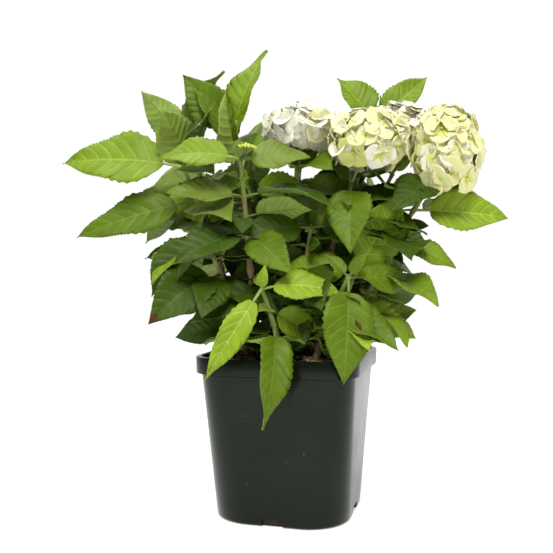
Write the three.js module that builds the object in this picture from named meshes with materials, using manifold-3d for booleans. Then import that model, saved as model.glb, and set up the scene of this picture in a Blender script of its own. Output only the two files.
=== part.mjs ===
// A mophead hydrangea in a square nursery pot. Units are millimetres, +Z is up, and the
// origin is the centre of the pot's flat underside, with the pot's front face towards -Y.
//
// The pot, its soil, every woody stem, every shoot's mass of leaves and every flower head is
// a solid of its own. A leaf mass is an uneven core round the leafy end of its stem, with one
// plump pad for each big leaf, so the crown's outline and gaps come from the leaves' reach.
import * as THREE from "three";
import { mergeVertices } from "three/addons/utils/BufferGeometryUtils.js";
import Module from "manifold-3d";

const wasm = await Module();
wasm.setup();

// ---- pot ----
const POT_HEIGHT = 177;
const RIM_HEIGHT = 18;
const RIM_HALF_WIDTH = 90;
const RIM_CORNER = 34;
const WALL_TOP_HALF_WIDTH = 86;
const WALL_TOP_CORNER = 31;
const FOOT_HALF_WIDTH = 74.5;
const FOOT_CORNER = 46;
const FOOT_BEVEL = 3;
const WALL = 2;
const FLOOR = 2.5;
const CORNER_STEPS = 5;
const SLOT_WIDTH = 23;
const SLOT_HEIGHT = 8;
const SLOT_DEPTH = 5;

// ---- soil ----
const SOIL_EDGE_HEIGHT = 168;
const SOIL_CROWN = 10;
const SOIL_RIPPLE = 1.4;
const SOIL_RINGS = 4;

// ---- plant ----
const PLANT_TURN = 15; // degrees the plant stands turned in its pot
const GAP = 0.3; // between the pot, the soil and what stands on them
const LEAF_GAP = 1; // round leaf masses, flower heads and stems
const STEM_FOOT_RADIUS = 4.2;
const STEM_TIP_RADIUS = 2.2;
const STEM_SIDES = 6;
const STEM_STEPS = 4;
const STEM_SINK = 12; // how far a stem's blank runs below the soil before it is trimmed
const NODE_STEP = 40; // between one pair of leaves and the next down the stem
const LEAF_HALF_WIDTH = 0.26; // of the leaf's reach
const LEAF_HALF_THICKNESS = 6;
const LEAF_DROOP = 34; // degrees a leaf bends down from base to tip
const LEAF_SECTIONS = [
  { at: 0.36, width: 0.92, thickness: 1.1 },
  { at: 0.7, width: 0.88, thickness: 0.8 },
];
const POINT_GROWTH = 4; // a pad's sharp ends grow further, to keep the gap all round them
const LEAF_LEAN = 1.25; // how far leaves turn their upper sides towards their shoot's open side
const CORE_RADIUS = 28;
const CORE_OVERRUN = 12; // how far a core runs past its highest and lowest leaf pairs
const CORE_UNEVENNESS = 0.06;
const CORE_DETAIL = 1;
const HEAD_DETAIL = 2;
const CRUMB = 0.45; // detail smaller than this is smoothed away after cutting
const HEAD_UNEVENNESS = 0.05;

// Places in the plant's own frame: x to its right, y to its back, z up.
// Leaves come in opposite pairs, the first pair at the tip and each next pair one step lower.
// A leaf is [direction, rise, reach]: degrees round from the plant's right, degrees above level
// from base to tip, and the distance from the stem to the leaf's tip. A shoot's leaves turn their
// upper sides towards the direction it faces.
const SHOOTS = [
  { name: "left_outer_shoot", faces: 265, foot: [-52, 6], tip: [-122, 0, 386],
    leaves: [[178, 3, 138], [304, -10, 84], [183, -18, 142], [300, -16, 98], [236, -32, 104],
      [92, -8, 92]] },
  { name: "right_head_shoot", faces: 290, foot: [54, -2], tip: [162, -12, 372],
    leaves: [[222, -30, 86], [40, -6, 66], [2, -5, 108], [188, -10, 84], [276, -14, 94],
      [96, 2, 98]] },
  { name: "upper_right_shoot", faces: 285, foot: [28, 36], tip: [102, 44, 446],
    leaves: [[170, 47, 72], [8, 39, 86], [184, 22, 78], [60, 0, 84]] },
  { name: "left_tall_shoot", faces: 250, foot: [-20, 14], tip: [-66, 20, 424],
    leaves: [[20, 68, 112], [186, 52, 92], [258, 48, 100], [70, 44, 96], [10, 4, 94],
      [184, 0, 104]] },
  { name: "left_upper_shoot", faces: 130, foot: [-44, 34], tip: [-124, 40, 424],
    leaves: [[8, 60, 94], [184, 45, 78], [130, 38, 92], [250, 38, 100], [200, -8, 108],
      [60, -10, 90]] },
  { name: "front_low_shoot", faces: 270, foot: [-8, -62], tip: [-30, -74, 250],
    leaves: [[203, -56, 112], [355, -6, 84], [257, -55, 116], [80, 25, 45]] },
  { name: "front_right_shoot", faces: 290, foot: [26, -52], tip: [60, -74, 262],
    leaves: [[248, -72, 112], [20, -8, 76], [330, -42, 84], [150, 4, 66]] },
  { name: "left_low_shoot", faces: 245, foot: [-46, -22], tip: [-92, -42, 302],
    leaves: [[188, -44, 84], [20, 0, 76], [214, -30, 100], [255, -34, 78]] },
  { name: "right_low_shoot", faces: 300, foot: [50, -24], tip: [120, -26, 296],
    leaves: [[352, -20, 66], [200, 12, 58], [318, -20, 84], [100, -16, 96], [302, -24, 84],
      [40, -30, 84]] },
  { name: "bud_shoot", faces: 265, foot: [-38, -18], tip: [-54, -50, 388],
    leaves: [[2, 2, 76], [184, -2, 86], [346, -8, 104], [196, 0, 84], [310, -30, 88],
      [216, -20, 96]] },
  { name: "inner_right_shoot", faces: 285, foot: [40, -44], tip: [68, -42, 262],
    leaves: [[12, 62, 106], [176, 10, 78], [286, -28, 84], [12, -20, 92]] },
  { name: "back_right_shoot", faces: 55, foot: [40, 46], tip: [104, 112, 350],
    leaves: [[46, 4, 122], [226, 24, 90], [130, -6, 114], [312, 0, 96], [80, -36, 112],
      [18, -36, 86]] },
  { name: "back_left_shoot", faces: 120, foot: [-34, 48], tip: [-92, 118, 366],
    leaves: [[150, 6, 124], [330, 22, 92], [62, -8, 118], [240, -4, 96], [120, -34, 110],
      [180, -32, 98]] },
  { name: "back_head_shoot", faces: 60, foot: [34, 22], tip: [120, 28, 382],
    leaves: [[60, 26, 84], [230, 0, 80], [90, 12, 108], [282, -24, 88]] },
  { name: "centre_head_shoot", faces: 275, foot: [20, -8], tip: [68, -22, 366],
    leaves: [[100, 30, 84], [262, -58, 94], [340, -12, 98], [165, 0, 92]] },
  { name: "left_head_shoot", faces: 270, foot: [6, 6], tip: [10, 4, 384],
    leaves: [[116, 52, 102], [292, -8, 82], [4, 4, 86], [184, 0, 88]] },
  { name: "back_middle_shoot", faces: 90, foot: [-4, 48], tip: [8, 108, 398],
    leaves: [[80, 36, 108], [262, 30, 88], [0, 2, 108], [180, 0, 108], [92, -26, 120],
      [270, 0, 80]] },
  { name: "centre_shoot", faces: 270, foot: [8, -30], tip: [22, -34, 316],
    leaves: [[8, 2, 82], [192, -8, 78], [284, -34, 84], [96, 6, 80]] },
  { name: "back_low_shoot", faces: 90, foot: [2, 64], tip: [-8, 122, 268],
    leaves: [[92, -34, 112], [270, 20, 78], [24, -26, 112], [158, -24, 110]] },
  { name: "low_middle_shoot", faces: 265, foot: [-26, -34], tip: [-24, -34, 244],
    leaves: [[200, -20, 92], [340, -34, 84], [235, -42, 76], [60, 4, 76]] },
];

const HEADS = [
  { name: "left_head", shoot: "left_head_shoot", at: [12, -6, 428], radii: [43, 39, 32] },
  { name: "centre_head", shoot: "centre_head_shoot", at: [84, -42, 408], radii: [43, 39, 37] },
  { name: "right_head", shoot: "right_head_shoot", at: [173, -20, 398], radii: [40, 42, 58] },
  { name: "back_head", shoot: "back_head_shoot", at: [132, 22, 428], radii: [40, 37, 36] },
];

const COLOURS = {
  pot: 0x23272a, soil: 0x4a3424, stem: 0x8f8a55, leaf: 0x5c8a32, head: 0xe9ecc8,
};

const radians = (degrees) => (degrees * Math.PI) / 180;

// A manifold solid from triangles whose corners may be listed more than once.
function solidOf(geometry) {
  const bare = new THREE.BufferGeometry();
  bare.setAttribute("position", geometry.getAttribute("position"));
  if (geometry.index) {
    bare.setIndex(geometry.index);
  }
  const welded = mergeVertices(bare, 1e-4);
  return new wasm.Manifold(new wasm.Mesh({
    numProp: 3,
    vertProperties: new Float32Array(welded.getAttribute("position").array),
    triVerts: new Uint32Array(welded.index.array),
  }));
}

// Rings of points, each listed anticlockwise about the loft's direction, skinned into a solid.
// A start or end may be a single point; otherwise the end is a flat fan.
function loft(rings, start, end) {
  const sides = rings[0].length;
  const points = [start, ...rings.flat(), end];
  const last = points.length - 1;
  const triangles = [];
  for (let side = 0; side < sides; side += 1) {
    const next = (side + 1) % sides;
    triangles.push(0, 1 + next, 1 + side);
    for (let ring = 0; ring + 1 < rings.length; ring += 1) {
      const low = 1 + ring * sides;
      const high = low + sides;
      triangles.push(low + side, low + next, high + next);
      triangles.push(low + side, high + next, high + side);
    }
    const top = 1 + (rings.length - 1) * sides;
    triangles.push(top + side, top + next, last);
  }
  const geometry = new THREE.BufferGeometry().setFromPoints(points);
  geometry.setIndex(triangles);
  return solidOf(geometry);
}

// A square with round corners at one height.
function roundedSquare(halfWidth, corner, z) {
  const centre = halfWidth - corner;
  const ring = [];
  for (let quarter = 0; quarter < 4; quarter += 1) {
    const middle = radians(45 + 90 * quarter);
    for (let step = 0; step <= CORNER_STEPS; step += 1) {
      const angle = radians(90 * quarter + (90 * step) / CORNER_STEPS);
      ring.push(new THREE.Vector3(
        Math.SQRT2 * centre * Math.cos(middle) + corner * Math.cos(angle),
        Math.SQRT2 * centre * Math.sin(middle) + corner * Math.sin(angle),
        z,
      ));
    }
  }
  return ring;
}

const mix = (low, high, share) => low + (high - low) * share;
const wallHeight = POT_HEIGHT - RIM_HEIGHT;

// The pot wall's half width and corner at a height, moved outwards by an offset.
function wallSquare(z, offset) {
  const share = z / POT_HEIGHT;
  const halfWidth = mix(FOOT_HALF_WIDTH, WALL_TOP_HALF_WIDTH, share) + offset;
  const corner = mix(FOOT_CORNER, WALL_TOP_CORNER, share) + offset;
  return roundedSquare(halfWidth, corner, z);
}

const onAxis = (z) => new THREE.Vector3(0, 0, z);

function potSolid(grow) {
  const outerRings = [
    roundedSquare(FOOT_HALF_WIDTH - FOOT_BEVEL + grow, FOOT_CORNER - FOOT_BEVEL + grow, -grow),
    wallSquare(FOOT_BEVEL, grow),
    wallSquare(wallHeight - grow, grow),
    roundedSquare(RIM_HALF_WIDTH + grow, RIM_CORNER + grow, wallHeight - grow),
    roundedSquare(RIM_HALF_WIDTH + grow, RIM_CORNER + grow, POT_HEIGHT + grow),
  ];
  const outer = loft(outerRings, onAxis(-grow), onAxis(POT_HEIGHT + grow));
  const cavityTop = POT_HEIGHT + 5;
  const cavityRings = [wallSquare(FLOOR + grow, -WALL - grow), wallSquare(cavityTop, -WALL - grow)];
  const cavity = loft(cavityRings, onAxis(FLOOR + grow), onAxis(cavityTop));
  return outer.subtract(cavity);
}

// Drain slots through the foot of the wall and the floor's edge, one in the middle of each side.
function drainSlots() {
  let slots = null;
  for (let side = 0; side < 4; side += 1) {
    const block = new THREE.BoxGeometry(SLOT_DEPTH * 2, SLOT_WIDTH, SLOT_HEIGHT * 2);
    block.translate(FOOT_HALF_WIDTH, 0, 0);
    block.rotateZ(radians(90 * side));
    const slot = solidOf(block);
    slots = slots ? slots.add(slot) : slot;
  }
  return slots;
}

function soilTop(x, y) {
  const outward = Math.max(Math.abs(x), Math.abs(y)) / WALL_TOP_HALF_WIDTH;
  const crown = SOIL_CROWN * (1 - outward * outward);
  const ripple = SOIL_RIPPLE * (Math.sin(x / 13 + 1) + Math.sin(y / 11 + x / 29));
  return SOIL_EDGE_HEIGHT + crown + ripple;
}

function soilSolid(grow) {
  const foot = FLOOR + GAP - grow;
  const inset = -WALL - GAP + grow;
  const rings = [wallSquare(foot, inset)];
  const edge = wallSquare(SOIL_EDGE_HEIGHT, inset);
  for (let ring = 0; ring < SOIL_RINGS; ring += 1) {
    const share = 1 - ring / SOIL_RINGS;
    rings.push(edge.map((point) => {
      const x = point.x * share;
      const y = point.y * share;
      return new THREE.Vector3(x, y, soilTop(x, y) + grow);
    }));
  }
  return loft(rings, onAxis(foot), onAxis(soilTop(0, 0) + grow));
}

const plantFrame = new THREE.Matrix4().makeRotationZ(radians(PLANT_TURN));
const place = ([x, y, z]) => new THREE.Vector3(x, y, z).applyMatrix4(plantFrame);

// A stem's line: it leaves the soil steeply and leans out towards its tip.
function stemLine(shoot) {
  const head = HEADS.find((one) => one.shoot === shoot.name);
  const foot = place([shoot.foot[0], shoot.foot[1], SOIL_EDGE_HEIGHT - STEM_SINK]);
  const tip = place(head ? head.at : shoot.tip);
  const bend = foot.clone().lerp(tip, 0.5);
  bend.x = mix(foot.x, tip.x, 0.36);
  bend.y = mix(foot.y, tip.y, 0.36);
  return new THREE.QuadraticBezierCurve3(foot, bend, tip);
}

function stemSolid(shoot, grow) {
  const line = stemLine(shoot);
  const frames = line.computeFrenetFrames(STEM_STEPS, false);
  const rings = [];
  for (let step = 0; step <= STEM_STEPS; step += 1) {
    const share = step / STEM_STEPS;
    const centre = line.getPoint(share);
    const radius = mix(STEM_FOOT_RADIUS, STEM_TIP_RADIUS, share) + grow;
    const ring = [];
    for (let side = 0; side < STEM_SIDES; side += 1) {
      const angle = (2 * Math.PI * side) / STEM_SIDES;
      ring.push(centre.clone()
        .addScaledVector(frames.normals[0], radius * Math.cos(angle))
        .addScaledVector(frames.binormals[0], radius * Math.sin(angle)));
    }
    rings.push(ring);
  }
  return loft(rings, line.getPoint(0), line.getPoint(1));
}

// The point on a shoot's stem that is a given number of leaf pairs below its tip.
function nodePoint(shoot, pair) {
  const foot = place([shoot.foot[0], shoot.foot[1], SOIL_EDGE_HEIGHT]);
  const tip = place(shoot.tip);
  const share = Math.min((NODE_STEP * pair) / foot.distanceTo(tip), 0.8);
  return tip.lerp(foot, share);
}

function levelDirection(degrees) {
  const angle = radians(degrees + PLANT_TURN);
  return new THREE.Vector3(Math.cos(angle), Math.sin(angle), 0);
}

// A pad's sharp end, moved on in the direction it already points.
function pointBeyond(ring, point, grow) {
  const middle = ring[1].clone().lerp(ring[3], 0.5);
  const onward = point.clone().sub(middle).normalize();
  return point.clone().addScaledVector(onward, grow * POINT_GROWTH);
}

function leafPad(base, [direction, rise, reach], faces, grow) {
  const heading = levelDirection(direction);
  const chord = heading.multiplyScalar(Math.cos(radians(rise)));
  chord.z = Math.sin(radians(rise));
  const lean = levelDirection(faces).multiplyScalar(LEAF_LEAN);
  const over = lean.add(new THREE.Vector3(0, 0, 1)).projectOnPlane(chord).normalize();
  const across = new THREE.Vector3().crossVectors(over, chord);
  const arch = (reach / 8) * radians(LEAF_DROOP);
  const halfWidth = reach * LEAF_HALF_WIDTH;
  const rings = LEAF_SECTIONS.map(({ at, width, thickness }) => {
    const middle = base.clone()
      .addScaledVector(chord, reach * at)
      .addScaledVector(over, arch * 4 * at * (1 - at));
    const side = halfWidth * width + grow;
    const half = LEAF_HALF_THICKNESS * thickness + grow;
    return [
      middle.clone().addScaledVector(across, side),
      middle.clone().addScaledVector(over, half),
      middle.clone().addScaledVector(across, -side),
      middle.clone().addScaledVector(over, -half),
    ];
  });
  const end = base.clone().addScaledVector(chord, reach);
  return loft(rings, pointBeyond(rings[0], base, grow), pointBeyond(rings.at(-1), end, grow));
}

// A ball pushed in and out by a few slow waves, so that no two are the same shape, with its
// third radius along an axis.
function unevenBall(centre, axis, radii, unevenness, phase, detail, grow) {
  const ball = new THREE.IcosahedronGeometry(1, detail);
  const position = ball.getAttribute("position");
  const turn = new THREE.Quaternion().setFromUnitVectors(onAxis(1), axis);
  const point = new THREE.Vector3();
  for (let index = 0; index < position.count; index += 1) {
    point.fromBufferAttribute(position, index).normalize();
    const wave = Math.sin(5 * point.x + phase) + Math.sin(6 * point.y + 2 * phase)
      + Math.sin(7 * point.z - phase);
    const swell = 1 + unevenness * wave;
    point.x *= radii[0] * swell + grow;
    point.y *= radii[1] * swell + grow;
    point.z *= radii[2] * swell + grow;
    point.applyQuaternion(turn).add(centre);
    position.setXYZ(index, point.x, point.y, point.z);
  }
  return solidOf(ball);
}

function massSolid(shoot, grow) {
  const pairs = shoot.leaves.length / 2;
  const middle = nodePoint(shoot, (pairs - 1) / 2);
  const along = nodePoint(shoot, 0).sub(nodePoint(shoot, 1)).normalize();
  const tall = CORE_OVERRUN + ((pairs - 1) * NODE_STEP) / 2;
  const radii = [CORE_RADIUS, CORE_RADIUS, tall];
  const phase = shoot.tip[0] / 20;
  let mass = unevenBall(middle, along, radii, CORE_UNEVENNESS, phase, CORE_DETAIL, grow);
  shoot.leaves.forEach((leaf, index) => {
    const base = nodePoint(shoot, Math.floor(index / 2));
    mass = mass.add(leafPad(base, leaf, shoot.faces, grow));
  });
  return mass;
}

function headSolid(head, grow) {
  const phase = head.at[0] / 15;
  const centre = place(head.at);
  return unevenBall(centre, onAxis(1), head.radii, HEAD_UNEVENNESS, phase, HEAD_DETAIL, grow);
}

// Cutting can leave crumbs; a node keeps only its largest piece.
function largest(solid) {
  const pieces = solid.decompose();
  return pieces.reduce((best, piece) => (piece.volume() > best.volume() ? piece : best));
}

// Of a stem cut by the masses it passes, the piece standing on the soil.
function lowest(solid) {
  const foot = (piece) => piece.boundingBox().min[2];
  return solid.decompose().reduce((best, piece) => (foot(piece) < foot(best) ? piece : best));
}

const plant = new THREE.Group();
plant.name = "hydrangea_in_pot";

function addNode(name, solid, colour, roughness) {
  const { numProp, vertProperties, triVerts } = solid.getMesh();
  const corners = [];
  for (const vertex of triVerts) {
    const start = vertex * numProp;
    corners.push(vertProperties[start], vertProperties[start + 1], vertProperties[start + 2]);
  }
  const geometry = new THREE.BufferGeometry();
  geometry.setAttribute("position", new THREE.Float32BufferAttribute(corners, 3));
  geometry.computeVertexNormals();
  const material = new THREE.MeshStandardMaterial({ color: colour, roughness, metalness: 0 });
  const mesh = new THREE.Mesh(geometry, material);
  mesh.name = name;
  plant.add(mesh);
}

addNode("pot", largest(potSolid(0).subtract(drainSlots())), COLOURS.pot, 0.4);
addNode("soil", soilSolid(0), COLOURS.soil, 0.95);

let taken = potSolid(GAP).add(soilSolid(GAP));
for (const head of HEADS) {
  addNode(head.name, largest(headSolid(head, 0).subtract(taken)), COLOURS.head, 0.8);
  taken = taken.add(headSolid(head, LEAF_GAP));
}
for (const shoot of SHOOTS) {
  const node = shoot.name.replace("_shoot", "_leaves");
  const mass = massSolid(shoot, 0).subtract(taken).simplify(CRUMB);
  addNode(node, largest(mass), COLOURS.leaf, 0.7);
  taken = taken.add(massSolid(shoot, LEAF_GAP));
}
const sunk = loft([wallSquare(FLOOR, 0), wallSquare(SOIL_EDGE_HEIGHT - 4, 0)], onAxis(FLOOR),
  onAxis(SOIL_EDGE_HEIGHT - 4));
taken = taken.add(sunk);
for (const shoot of SHOOTS) {
  const node = shoot.name.replace("_shoot", "_stem");
  const stem = stemSolid(shoot, 0).subtract(taken).simplify(CRUMB);
  addNode(node, lowest(stem), COLOURS.stem, 0.8);
  taken = taken.add(stemSolid(shoot, LEAF_GAP));
}

export default plant;
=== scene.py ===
"""A potted mophead hydrangea: pot, peat, woody stems, toothed leaves and flower heads.

Lengths in the tables are millimetres in the plant's own frame (x to its right, y to its back,
z up), which stands turned a little in the square pot. Everything is built in metres.
"""
import math
import random

import bpy
import numpy as np
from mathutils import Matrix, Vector


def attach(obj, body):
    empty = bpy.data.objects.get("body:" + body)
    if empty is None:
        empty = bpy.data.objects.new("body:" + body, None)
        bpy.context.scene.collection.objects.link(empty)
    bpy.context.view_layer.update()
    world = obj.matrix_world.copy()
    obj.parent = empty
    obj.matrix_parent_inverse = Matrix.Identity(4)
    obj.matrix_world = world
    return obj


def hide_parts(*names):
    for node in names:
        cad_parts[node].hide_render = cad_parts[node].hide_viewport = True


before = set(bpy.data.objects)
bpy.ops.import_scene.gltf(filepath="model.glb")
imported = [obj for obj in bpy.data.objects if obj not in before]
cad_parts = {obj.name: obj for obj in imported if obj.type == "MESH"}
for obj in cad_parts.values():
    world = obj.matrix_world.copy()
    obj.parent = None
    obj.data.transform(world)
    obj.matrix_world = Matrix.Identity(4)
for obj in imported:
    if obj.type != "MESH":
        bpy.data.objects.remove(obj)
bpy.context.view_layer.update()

MM = 0.001
PLANT_TURN = math.radians(15)
POT_HEIGHT = 177
RIM_HEIGHT = 18
RIM_HALF_WIDTH = 90
RIM_CORNER = 34
WALL_TOP_HALF_WIDTH = 86
WALL_TOP_CORNER = 31
FOOT_HALF_WIDTH = 74.5
FOOT_CORNER = 46
FOOT_BEVEL = 3
SLOT_WIDTH = 23
SLOT_HEIGHT = 8
SLOT_DEPTH = 5
WALL = 2
FLOOR = 2.5
SOIL_EDGE_HEIGHT = 168
SOIL_CROWN = 10
SOIL_RIPPLE = 1.4
NODE_STEP = 40
LEAF_LEAN = 1.25

# A leaf is (direction, rise, reach): degrees round from the plant's right, degrees above level
# from the stem to the tip, and millimetres from the stem to the tip; a fourth number is its half
# width as a share of its length, and a fifth value its own tone. Leaves come in opposite pairs,
# the first pair at the shoot's tip. tone picks the shoot's greens.
SHOOTS = {
    "left_outer": dict(faces=265, foot=(-52, 6), tip=(-122, 0, 386), tone="mid", droop=36, leaves=[
        (178, 3, 138, 0.30, "fresh"), (304, -10, 84), (183, -18, 142, 0.20, "mid"),
        (300, -16, 98), (236, -32, 104), (92, -8, 92)]),
    "right_head": dict(faces=290, foot=(54, -2), tip=(162, -12, 372), tone="deep", droop=30, leaves=[
        (222, -30, 86), (40, -6, 66, 0.3, "grey"), (2, -5, 108, 0.27, "lime"), (188, -10, 84),
        (276, -14, 94), (96, 2, 98)]),
    "left_tall": dict(faces=250, foot=(-20, 14), tip=(-66, 20, 424), tone="fresh", droop=18, leaves=[
        (20, 68, 112, 0.30), (186, 52, 92, 0.30, "mid"), (258, 48, 100), (70, 44, 96), (10, 4, 94),
        (184, 0, 104)]),
    "left_upper": dict(faces=130, foot=(-44, 34), tip=(-124, 40, 424), tone="mid", droop=24, leaves=[
        (8, 60, 94, 0.29), (184, 45, 78, 0.30), (130, 38, 92), (250, 38, 100), (200, -8, 108),
        (60, -10, 90)]),
    "front_low": dict(faces=270, foot=(-8, -62), tip=(-30, -74, 250), tone="lime", droop=48, leaves=[
        (203, -56, 112, 0.15), (355, -6, 84, 0.27), (257, -55, 116, 0.19, "mid"), (80, 25, 45)]),
    "front_right": dict(faces=290, foot=(26, -52), tip=(60, -74, 262), tone="mid", droop=38, leaves=[
        (248, -72, 112), (20, -8, 76), (330, -42, 84), (150, 4, 66)]),
    "left_low": dict(faces=245, foot=(-46, -22), tip=(-92, -42, 302), tone="deep", droop=44, leaves=[
        (188, -44, 84), (20, 0, 76), (214, -30, 100), (255, -34, 78)]),
    "right_low": dict(faces=300, foot=(50, -24), tip=(120, -26, 296), tone="fresh", droop=40, leaves=[
        (352, -20, 66), (200, 12, 58), (318, -20, 84), (100, -16, 96), (302, -24, 84),
        (40, -30, 84)]),
    "bud": dict(faces=265, foot=(-38, -18), tip=(-54, -50, 388), tone="mid", droop=34, leaves=[
        (2, 2, 76, 0.3, "grey"), (184, -2, 86, 0.32, "fresh"), (346, -8, 104, 0.3, "deep"),
        (196, 0, 84, 0.26, "grey"), (310, -30, 88, 0.27, "mid"), (216, -20, 96, 0.3, "deep")]),
    "inner_right": dict(faces=285, foot=(40, -44), tip=(68, -42, 262), tone="fresh", droop=24, leaves=[
        (12, 62, 106), (176, 10, 78), (286, -28, 84), (12, -20, 92)]),
    "back_right": dict(faces=55, foot=(40, 46), tip=(104, 112, 350), tone="deep", droop=36, leaves=[
        (46, 4, 122), (226, 24, 90), (130, -6, 114), (312, 0, 96), (80, -36, 112), (18, -36, 86)]),
    "back_left": dict(faces=120, foot=(-34, 48), tip=(-92, 118, 366), tone="mid", droop=36, leaves=[
        (150, 6, 124), (330, 22, 92), (62, -8, 118), (240, -4, 96), (120, -34, 110),
        (180, -32, 98)]),
    "back_head": dict(faces=60, foot=(34, 22), tip=(120, 28, 382), tone="fresh", droop=24, leaves=[
        (60, 26, 84), (230, 0, 80), (90, 12, 108), (282, -24, 88)]),
    "upper_right": dict(faces=285, foot=(28, 36), tip=(102, 44, 446), tone="fresh", droop=16, leaves=[
        (170, 47, 72, 0.40), (8, 39, 86, 0.26), (184, 22, 78, 0.3, "deep"), (60, 0, 84)]),
    "centre_head": dict(faces=275, foot=(20, -8), tip=(68, -22, 366), tone="deep", droop=30, leaves=[
        (100, 30, 84), (262, -58, 94, 0.3, "mid"), (340, -12, 98), (165, 0, 92)]),
    "left_head": dict(faces=270, foot=(6, 6), tip=(10, 4, 384), tone="mid", droop=28, leaves=[
        (116, 52, 102), (292, -8, 82), (4, 4, 86), (184, 0, 88)]),
    "back_middle": dict(faces=90, foot=(-4, 48), tip=(8, 108, 398), tone="fresh", droop=30, leaves=[
        (80, 36, 108), (262, 30, 88), (0, 2, 108), (180, 0, 108), (92, -26, 120), (270, 0, 80)]),
    "centre": dict(faces=270, foot=(8, -30), tip=(22, -34, 316), tone="deep", droop=34, leaves=[
        (8, 2, 82), (192, -8, 78), (284, -34, 84), (96, 6, 80)]),
    "back_low": dict(faces=90, foot=(2, 64), tip=(-8, 122, 268), tone="mid", droop=40, leaves=[
        (92, -34, 112), (270, 20, 78), (24, -26, 112), (158, -24, 110)]),
    "low_middle": dict(faces=265, foot=(-26, -34), tip=(-24, -34, 244), tone="deep", droop=36, leaves=[
        (200, -20, 92), (340, -34, 84), (235, -42, 76), (60, 4, 76)]),
}

HEADS = {
    "left_head": dict(at=(12, -6, 428), radii=(43, 39, 32), florets=28, tone="white"),
    "centre_head": dict(at=(84, -42, 408), radii=(43, 39, 37), florets=32, tone="lime"),
    "right_head": dict(at=(173, -20, 398), radii=(40, 42, 58), florets=42, tone="cream"),
    "back_head": dict(at=(132, 22, 428), radii=(40, 37, 36), florets=30, tone="white"),
}

chance = random.Random(41)


# ---------------------------------------------------------------- small maths

def unit(vector):
    return vector / np.linalg.norm(vector)


def turned(x, y, z=0.0):
    """A place in the plant's frame, in millimetres, as a row-frame place in metres."""
    cos_turn, sin_turn = math.cos(PLANT_TURN), math.sin(PLANT_TURN)
    return np.array([x * cos_turn - y * sin_turn, x * sin_turn + y * cos_turn, z]) * MM


def level_direction(degrees):
    angle = math.radians(degrees) + PLANT_TURN
    return np.array([math.cos(angle), math.sin(angle), 0.0])


def without(vector, direction):
    """vector with its part along a unit direction taken out, made unit length."""
    return unit(vector - direction * np.dot(vector, direction))


# ---------------------------------------------------------------- mesh pieces

class Piece:
    """Gathers triangles and quads with a material for each face, then makes one object."""

    def __init__(self, name, materials):
        self.name = name
        self.materials = materials
        self.points = []
        self.quads = []
        self.quad_facts = []
        self.triangles = []
        self.triangle_facts = []
        self.count = 0

    def add_points(self, points):
        start = self.count
        self.points.append(np.asarray(points, dtype=np.float32).reshape(-1, 3))
        self.count += len(self.points[-1])
        return start

    def add_quads(self, quads, material, smooth=True):
        quads = np.asarray(quads, dtype=np.int32).reshape(-1, 4)
        material = np.broadcast_to(np.asarray(material, dtype=np.int32), (len(quads),))
        flags = np.full(len(quads), smooth, dtype=np.int32)
        self.quads.append(quads)
        self.quad_facts.append(np.stack([material, flags], axis=1))

    def add_triangles(self, triangles, material, smooth=True):
        triangles = np.asarray(triangles, dtype=np.int32).reshape(-1, 3)
        material = np.broadcast_to(np.asarray(material, dtype=np.int32), (len(triangles),))
        flags = np.full(len(triangles), smooth, dtype=np.int32)
        self.triangles.append(triangles)
        self.triangle_facts.append(np.stack([material, flags], axis=1))

    def build(self, replaced):
        quads = np.concatenate(self.quads) if self.quads else np.zeros((0, 4), np.int32)
        triangles = np.concatenate(self.triangles) if self.triangles else np.zeros((0, 3), np.int32)
        facts = np.concatenate(self.quad_facts + self.triangle_facts)
        mesh = bpy.data.meshes.new(self.name)
        mesh.vertices.add(self.count)
        mesh.vertices.foreach_set("co", np.concatenate(self.points).ravel())
        mesh.loops.add(quads.size + triangles.size)
        mesh.loops.foreach_set("vertex_index", np.concatenate([quads.ravel(), triangles.ravel()]))
        quad_starts = np.arange(len(quads)) * 4
        triangle_starts = quads.size + np.arange(len(triangles)) * 3
        mesh.polygons.add(len(quads) + len(triangles))
        mesh.polygons.foreach_set("loop_start", np.concatenate([quad_starts, triangle_starts]))
        mesh.polygons.foreach_set("material_index", facts[:, 0])
        mesh.polygons.foreach_set("use_smooth", facts[:, 1].astype(bool))
        for material in self.materials:
            mesh.materials.append(material)
        mesh.update(calc_edges=True)
        mesh.validate()
        piece = bpy.data.objects.new(self.name, mesh)
        bpy.context.scene.collection.objects.link(piece)
        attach(piece, "root")
        if replaced:
            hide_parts(*replaced)
        return piece


def path_frames(path):
    """Tangents and two side vectors along a path, carried without twist."""
    tangents = np.gradient(path, axis=0)
    tangents /= np.linalg.norm(tangents, axis=1)[:, None]
    side = np.array([1.0, 0.0, 0.0])
    if abs(tangents[0][0]) > 0.8:
        side = np.array([0.0, 1.0, 0.0])
    firsts = []
    for tangent in tangents:
        side = without(side, tangent)
        firsts.append(side)
    firsts = np.array(firsts)
    seconds = np.cross(tangents, firsts)
    return tangents, firsts, seconds


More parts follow.
